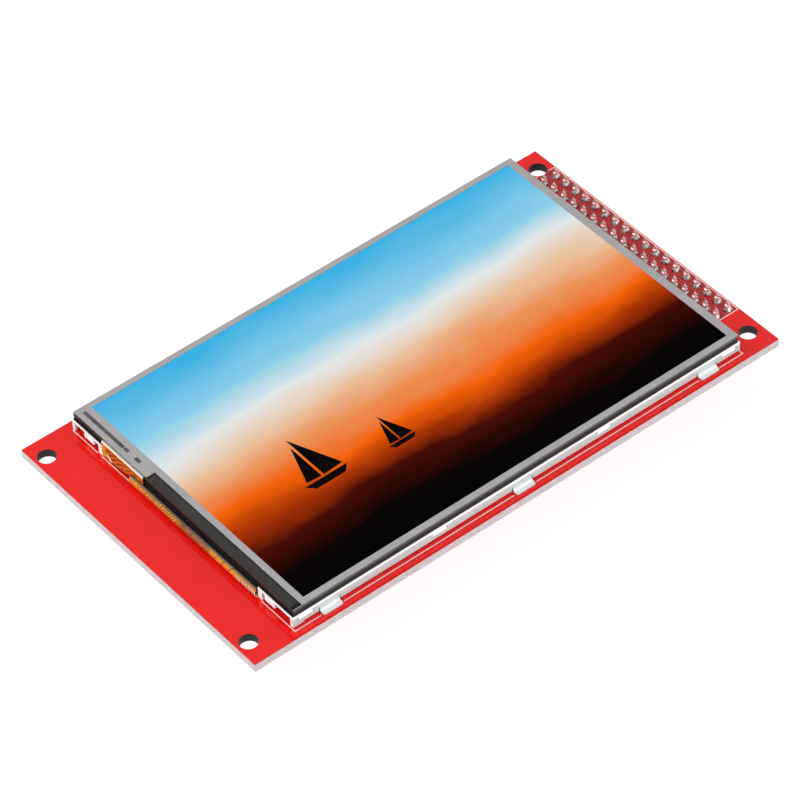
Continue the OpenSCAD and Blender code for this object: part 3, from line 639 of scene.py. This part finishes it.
def borderMaterial(values):
    # even grey ink with fine grain, and a little straw yellow where the tail's
    # two corners are bonded under it
    made = Finish("greyBorderInk")
    x, y = made.axis("X"), made.axis("Y")
    drift = made.spread(made.speckle(values["driftSize"]), 0.0, 1.0)
    grain = made.speckle(values["grainSize"], detail=2.0)
    ink = made.mix(drift, values["colour"], values["colourTwo"])
    ends = made.either(*(
        made.within(y, at - values["strawHalf"], at + values["strawHalf"], 0.2 * mm)
        for at in (tailLow.y + 0.1 * mm, tailHigh.y - 0.4 * mm)
    ))
    cloud = made.spread(made.speckle(0.9 * mm, detail=4.0), 0.35, 1.0)
    outer = made.within(x, -1.0, filmLow.x + values["strawWidth"], 0.3 * mm)
    straw = made.both(made.both(ends, outer), cloud)
    made.surface(
        Base_Color=made.mix(straw, ink, values["straw"]),
        Roughness=made.spread(grain, *values["gloss"]),
    )
    made.shader.inputs["Specular IOR Level"].default_value = 0.3
    made.bump(grain, 0.15, 0.01 * mm)
    return made.material


tailLow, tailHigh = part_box("touch_flex")
dress("border_print", borderMaterial(borderInk))
dress("border_marks", grainedFinish("darkBorderTraces", borderTraces))


# flexes

displayFlex = {
    "amber": screenColour(214, 138, 30), "amberDeep": screenColour(190, 112, 18),
    "brown": screenColour(156, 100, 52), "brownDeep": screenColour(116, 66, 24),
    # the last colour on the next line is plain black for the bend's upper part
    "streak": screenColour(52, 28, 8), "topBlack": screenColour(14, 12, 11),
    # the olive colour is painted shade under the glass near the bend's top
    "oliveShade": screenColour(74, 58, 14),
    "oliveShadeFrom": 0.80, "topBlackFrom": 1.10,   # shares of the bend's height
    "topBlackDepth": 0.48 * mm,            # and from the outermost point inwards
    "brownFrom": 11.6 * mm, "brownTo": 19.5 * mm,   # lengths from the near end
    "streakFrom": 18.5 * mm, "streakTo": 29.6 * mm,
    "streakPitch": 0.56 * mm, "slant": 0.8,
    "strayFrom": 5.2 * mm, "strayTo": 13 * mm, "strayEvery": 3.3,   # single thin streaks
    # the second colour on the next line is painted shade at the comb's slots
    "finger": screenColour(250, 218, 186), "slotShade": screenColour(56, 26, 10),
    "combEnd": 4.75 * mm, "combTop": 1.35 * mm,
    "combPitch": 0.36 * mm, "combSlot": 0.17 * mm,
}
flexLow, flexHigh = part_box("display_flex")


def displayFlexMaterial(values):
    # amber film with tracks under it. Along Y it goes from pale fingers to plain
    # amber, a brown stretch, slanted dark streaks and amber again. Over the
    # bend's height it darkens to olive, a painted shade under the glass, and then to black.
    made = Finish("displayFlexFilm")
    x, y, z = (made.axis(k) for k in "XYZ")
    along = made.math("SUBTRACT", y, flexLow.y)
    cloud = made.spread(made.speckle(1.4 * mm, detail=4.0), 0.0, 1.0)
    amber = made.mix(cloud, values["amber"], values["amberDeep"])
    brown = made.mix(cloud, values["brown"], values["brownDeep"])
    colour = made.mix(made.within(along, values["brownFrom"], values["brownTo"], 0.9 * mm), amber, brown)
    slanted = made.math("ADD", along, made.math("MULTIPLY", z, values["slant"]))
    wander = made.math("MULTIPLY", made.speckle(1.5 * mm), 1.3 * mm)
    turns = made.math("DIVIDE", made.math("ADD", slanted, wander), values["streakPitch"])
    wave = made.math("SINE", made.math("MULTIPLY", turns, math.tau))
    stripe = made.math("MULTIPLY_ADD", wave, 1.4, 0.1, clamp=True)
    wide = made.within(along, values["streakFrom"], values["streakTo"], 0.8 * mm)
    spaced = made.math("FRACT", made.math("DIVIDE", turns, values["strayEvery"]))
    thin = made.math("GREATER_THAN", spaced, 0.9)
    some = made.within(along, values["strayFrom"], values["strayTo"])
    streaks = made.either(made.both(stripe, wide), made.both(thin, some))
    colour = made.mix(made.math("MULTIPLY", streaks, 0.7), colour, values["streak"])
    # pale fingers between the comb's slots, under an amber rail, with painted shade at the slots
    turn = made.math("FRACT", made.math("DIVIDE", along, values["combPitch"]))
    solid = made.math("LESS_THAN", turn, values["combSlot"] / values["combPitch"])
    fingers = made.mix(solid, values["slotShade"], values["finger"])
    low = made.math("LESS_THAN", z, boardHigh.z + values["combTop"])
    comb = made.both(low, made.math("LESS_THAN", along, values["combEnd"]))
    colour = made.mix(comb, colour, fingers)
    share = made.math("DIVIDE", made.math("SUBTRACT", z, flexLow.z), flexHigh.z - flexLow.z)
    # olive near the bend's top is painted shade under the glass
    oliveShade = made.math("MULTIPLY", made.math("SUBTRACT", share, values["oliveShadeFrom"]), 5.0, clamp=True)
    colour = made.mix(oliveShade, colour, values["oliveShade"])
    # black over the bend's upper half, inwards of its outermost point
    behind = made.within(x, flexLow.x + values["topBlackDepth"], 1.0, 0.1 * mm)
    upper = made.math("GREATER_THAN", share, 0.5)
    black = made.either(made.math("GREATER_THAN", share, values["topBlackFrom"]), made.both(upper, behind))
    colour = made.mix(black, colour, values["topBlack"])
    made.surface(Base_Color=colour, Roughness=made.spread(made.speckle(0.3 * mm), 0.26, 0.42))
    made.bump(made.spread(made.speckle(0.7 * mm, detail=3.0), 0.0, 1.0), 0.3, 0.05 * mm)
    return made.material


touchTail = {
    "amber": screenColour(214, 142, 22), "orange": screenColour(196, 104, 16),
    # the edge colour on the next line is a painted highlight along the top bend
    "deep": screenColour(84, 38, 6), "edge": screenColour(255, 244, 212),
    "fold": screenColour(166, 163, 158),
    "highlightFrom": 0.36 * mm, "foldFrom": 0.13 * mm,   # depths under the top
    # a painted highlight spot
    "spotHighlight": screenColour(250, 236, 225),
    "spotFromFar": 1.75 * mm, "spotHeight": 0.9 * mm, "spotSize": 0.32 * mm,
    "amberWidth": 1.0 * mm, "streakPitch": 1.5 * mm, "slant": -1.7,
}


def touchTailMaterial(values):
    # amber film: grey where it folds over the panel's edge and a pale painted highlight under it,
    # amber at its far side, brown clouds with slanted streaks elsewhere, one painted highlight spot
    made = Finish("touchTailFilm")
    y, z = made.axis("Y"), made.axis("Z")
    fromFar = made.math("SUBTRACT", tailHigh.y, y)
    slanted = made.math("ADD", fromFar, made.math("MULTIPLY", z, values["slant"]))
    wander = made.math("MULTIPLY", made.speckle(1.8 * mm), 2.2 * mm)
    turns = made.math("DIVIDE", made.math("ADD", slanted, wander), values["streakPitch"])
    wave = made.math("SINE", made.math("MULTIPLY", turns, math.tau))
    cloud = made.spread(made.speckle(1.6 * mm, detail=3.0), 0.0, 1.0)
    dark = made.math("MULTIPLY_ADD", wave, 0.42, made.math("MULTIPLY", cloud, 0.7), clamp=True)
    colour = made.mix(dark, values["orange"], values["deep"])
    amberSide = made.within(fromFar, -0.001, values["amberWidth"], 0.25 * mm)
    colour = made.mix(made.math("MULTIPLY", amberSide, 0.85), colour, values["amber"])
    offY = made.math("SUBTRACT", fromFar, values["spotFromFar"])
    offZ = made.math("SUBTRACT", z, boardHigh.z + values["spotHeight"])
    lean = made.math("MULTIPLY_ADD", offZ, 0.8, offY)
    tall = made.math("MULTIPLY", made.both(offZ, offZ), 0.25)
    away = made.math("SQRT", made.math("ADD", made.both(lean, lean), tall))
    colour = made.mix(made.math("LESS_THAN", away, values["spotSize"]), colour, values["spotHighlight"])
    # a pale painted highlight band just under the grey fold
    edge = made.math("GREATER_THAN", z, tailHigh.z - values["highlightFrom"])
    colour = made.mix(edge, colour, values["edge"])
    fold = made.math("GREATER_THAN", z, tailHigh.z - values["foldFrom"])
    colour = made.mix(fold, colour, values["fold"])
    made.surface(Base_Color=colour, Roughness=made.spread(made.speckle(0.3 * mm), 0.22, 0.4))
    made.bump(cloud, 0.4, 0.08 * mm)
    return made.material


dress("display_flex", displayFlexMaterial(displayFlex))
dress("touch_flex", touchTailMaterial(touchTail))
lampFlex = {
    "colour": screenColour(196, 128, 34), "colourTwo": screenColour(170, 104, 22),
    "driftSize": 2 * mm, "grainSize": 0.3 * mm, "gloss": (0.25, 0.4),
}
dress("led_flex", grainedFinish("lampFlexFilm", lampFlex))
print("flexes finished")


# parts on the underside

chipEpoxy = {
    "colour": screenColour(38, 38, 40), "colourTwo": screenColour(46, 46, 48),
    "driftSize": 1 * mm, "grainSize": 0.08 * mm, "gloss": (0.5, 0.68), "bump": 0.3,
}
tinnedLead = dict(solder, gloss=(0.18, 0.3), driftSize=0.6 * mm)
capacitorBody = {
    "colour": screenColour(176, 146, 110), "colourTwo": screenColour(158, 128, 94),
    "driftSize": 0.5 * mm, "grainSize": 0.1 * mm, "gloss": (0.4, 0.55),
}
resistorGlaze = {
    "colour": screenColour(26, 26, 30), "colourTwo": screenColour(34, 34, 38),
    "driftSize": 0.5 * mm, "grainSize": 0.1 * mm, "gloss": (0.2, 0.3),
}
epoxyMaterial = grainedFinish("chipEpoxy", chipEpoxy)
leadMaterial = grainedFinish("tinnedLeads", tinnedLead)
for nodeName in ("bus_chips", "touch_controller", "regulator", "backlight_transistor"):
    dress(nodeName, epoxyMaterial)
leadNames = (
    "bus_chip_leads", "touch_controller_leads", "regulator_leads",
    "transistor_leads", "chip_end_caps",
)
for nodeName in leadNames:
    dress(nodeName, leadMaterial)
dress("capacitors", grainedFinish("capacitorBody", capacitorBody))
dress("resistors", grainedFinish("resistorGlaze", resistorGlaze))
print("underside finished")

bpy.context.view_layer.update()
